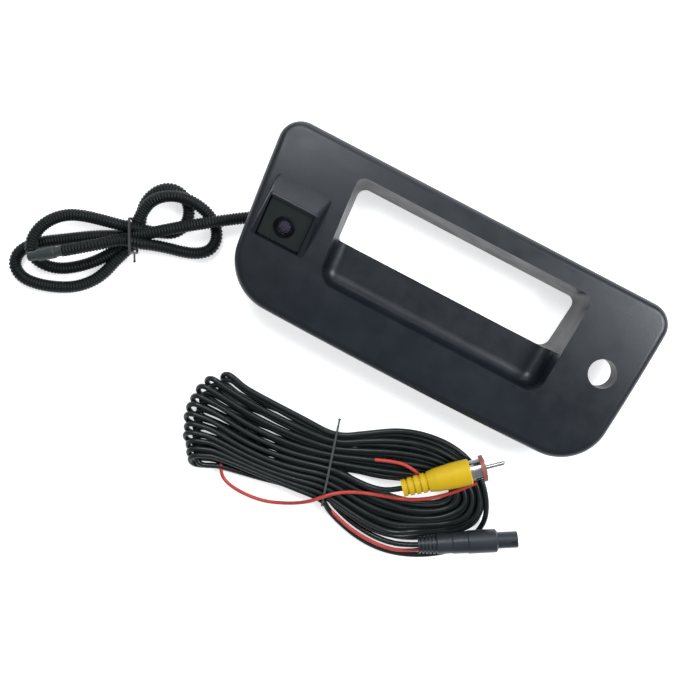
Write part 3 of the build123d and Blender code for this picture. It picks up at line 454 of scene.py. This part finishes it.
def waist(tip, high):
    """Where a tip's upper or lower strand passes the tie, the upper ones half a pitch aside."""
    pitch = 2 * WAIST_HALF / (HANK_TIPS - 1)
    place = HANK_MIDDLE + HANK_ACROSS * (WAIST_HALF - pitch * tip - (pitch / 2 if high else 0.0))
    return Vector((place.x, place.y, layer_z(tip, high)))


def beside_connector(x, y, z):
    """A strand's height, lowered to the floor under the connector and on the -Y side of it."""
    away = Vector((x, y)) - CONNECTOR_REAR
    across = away.y * CONNECTOR_WAY.x - away.x * CONNECTOR_WAY.y
    if away.dot(CONNECTOR_WAY) < -LOWERED_BEHIND:
        return z
    free = min(max((across - LOWERED_ASIDE) / RISE_WIDTH, 0.0), 1.0)
    return LOW_Z + (z - LOW_Z) * free


def right_loop(rank, high, shake):
    """A turn's rounded loop at the right end. Rank 0 is the outermost, and halves are the low turns."""
    z = layer_z(int(rank), high)
    share = rank / (HANK_TIPS // 2 - 0.5)
    points = []
    for outer, inner in zip(OUTER_LOOP, INNER_LOOP):
        x, y = Vector(outer).lerp(Vector(inner), share)
        x, y = x + shake.uniform(-LOOP_SHAKE, LOOP_SHAKE), y + shake.uniform(-LOOP_SHAKE, LOOP_SHAKE)
        points.append(Vector((x, y, beside_connector(x, y, z))))
    if rank == 0:
        points = points[:LEAVES_LOOP_AT] + [Vector(p) for p in UNDER_CONNECTOR]
    return points


def fan_tip(tip, shake):
    """Where a tip of the fan lies, and the way it points."""
    along = tip / (HANK_TIPS - 1) * (len(FAN_TIPS) - 1)
    first = min(int(along), len(FAN_TIPS) - 2)
    place = Vector(FAN_TIPS[first]).lerp(Vector(FAN_TIPS[first + 1]), along - first)
    way = (place - HANK_MIDDLE).normalized()
    set_back = (ODD_SET_BACK if tip % 2 else 0.0) + shake.uniform(0, SET_BACK_SHAKE)
    return place - way * set_back, way


def left_loop(tip, shake):
    """A narrow loop of the fan: out along its lower strand, round its tip and back above."""
    place, way = fan_tip(tip, shake)
    side = Vector((way.y, -way.x))      # towards the upper edge
    half = (TIP_HALF_ODD if tip % 2 else TIP_HALF) + shake.uniform(*TIP_HALF_SHAKE)
    low_z, high_z = layer_z(tip, False), layer_z(tip, True)
    rise, middle = (high_z - low_z) / 2, (high_z + low_z) / 2
    turn = Vector((half, rise)).length  # the radius of the turn, which lies in a tilted plane

    def spot(back, share):
        at = place - way * back + side * half * share
        return Vector((at.x, at.y, middle + rise * share))

    low, high = spot(NECK_BACK, -NECK_SHARE), spot(NECK_BACK, NECK_SHARE)
    start, end = waist(tip, False), waist(tip, True)
    share = tip / (HANK_TIPS - 1)
    sag = HANK_ACROSS * (FAN_SAG * share * (1 - share))

    def on_way(first, second, f):
        shift = sag + Vector([shake.uniform(-FAN_SHAKE, FAN_SHAKE) for _ in range(2)])
        return first.lerp(second, f) + Vector((shift.x, shift.y, 0))

    out = [start] + [on_way(start, low, f) for f in THIRDS]
    back = [on_way(high, end, f) for f in THIRDS] + [end]
    shoulder, corner = turn * SHOULDER_BACK, turn * (1 - TURN_CORNER)
    bend = [low, spot(shoulder, -1), spot(corner, -1), spot(0, -TURN_CORNER), spot(0, TURN_CORNER),
            spot(corner, 1), spot(shoulder, 1), high]
    return out + bend + back


def hank_points():
    """Every turn of the hank, from the connector's end to the plug's: high and low loops by turns."""
    shake = random.Random(HANK_SEED)
    last = HANK_TIPS - 1
    points = [HANK_START] + left_loop(0, shake)[1:]
    for k in range(last // 2):
        points += right_loop(k, True, shake)
        points += left_loop(last - k, shake)[::-1]
        points += right_loop(k + 0.5, False, shake)
        points += left_loop(k + 1, shake)
    return [tuple(p) for p in points]


def make_cable():
    """The whole video cable: its free end at the connector, the hank, and its free end at the plug."""
    points = CABLE_TO_CONNECTOR + hank_points() + CABLE_TO_PLUG[::-1]
    cable = cord_curve("video_cable", points, CABLE_D, MATERIALS["cable_black"])
    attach(cable, "extension_lead")
    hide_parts("cable_hank", "cable_to_connector", "cable_to_plug")
    line_length(spline_points(points))


# ---- trigger wire --------------------------------------------------------------------
def make_trigger(name, points, node):
    """One stretch of the red trigger wire that is in view."""
    wire = cord_curve(name, points, TRIGGER_D, MATERIALS["trigger_red"])
    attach(wire, "extension_lead")
    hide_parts(node)
    line_length(spline_points(points))


# ---- stage -------------------------------------------------------------------------
def make_floor():
    mesh = bmesh.new()
    bmesh.ops.create_grid(mesh, x_segments=8, y_segments=8, size=FLOOR_HALF)
    data = bpy.data.meshes.new("floor")
    mesh.to_mesh(data)
    mesh.free()
    floor = bpy.data.objects.new("floor", data)
    SCENE.collection.objects.link(floor)
    finish = Finish("floor", FLOOR_COLOUR, FLOOR_ROUGHNESS)
    finish.vary_roughness(finish.noise(20), spread=0.05)
    finish.shader.inputs["Emission Color"].default_value = (1, 1, 1, 1)
    finish.shader.inputs["Emission Strength"].default_value = FLOOR_GLOW
    data.materials.append(finish.material)


def make_world():
    world = bpy.data.worlds.new("world")
    world.use_nodes = True
    world.node_tree.nodes["Background"].inputs["Color"].default_value = WORLD_COLOUR
    world.node_tree.nodes["Background"].inputs["Strength"].default_value = WORLD_STRENGTH
    SCENE.world = world


def area_light(name, at, aim, size, power):
    data = bpy.data.lights.new(name, "AREA")
    data.shape = "RECTANGLE"
    data.size, data.size_y = size
    data.energy = power
    data.color = LIGHT_COLOUR
    light = bpy.data.objects.new(name, data)
    light.location = at
    light.rotation_euler = (Vector(aim) - Vector(at)).to_track_quat("-Z", "Y").to_euler()
    SCENE.collection.objects.link(light)


def make_camera():
    data = bpy.data.cameras.new("camera")
    data.lens, data.sensor_width = FOCAL_LENGTH, SENSOR_WIDTH
    data.shift_x, data.shift_y = CAMERA_SHIFT
    data.clip_start = CLIP_START
    camera = bpy.data.objects.new("camera", data)
    forward = (CAMERA_AIM - CAMERA_AT).normalized()
    right = forward.cross(CAMERA_UP).normalized()
    up = right.cross(forward)
    turn = Matrix((right, up, -forward)).transposed().to_4x4()
    camera.matrix_world = Matrix.Translation(CAMERA_AT) @ turn
    SCENE.collection.objects.link(camera)
    SCENE.camera = camera


make_foam()
make_loom()
make_cable()
make_trigger("trigger_at_connector", TRIGGER_TO_CONNECTOR, "trigger_to_connector")
make_trigger("trigger_over_hank", TRIGGER_LOOP, "trigger_loop")
make_trigger("trigger_beside_plug", TRIGGER_STRAY, "trigger_stray")
make_floor()
make_camera()

make_world()
for light in LIGHTS:
    area_light(*light)
SCENE.view_settings.view_transform = "Standard"
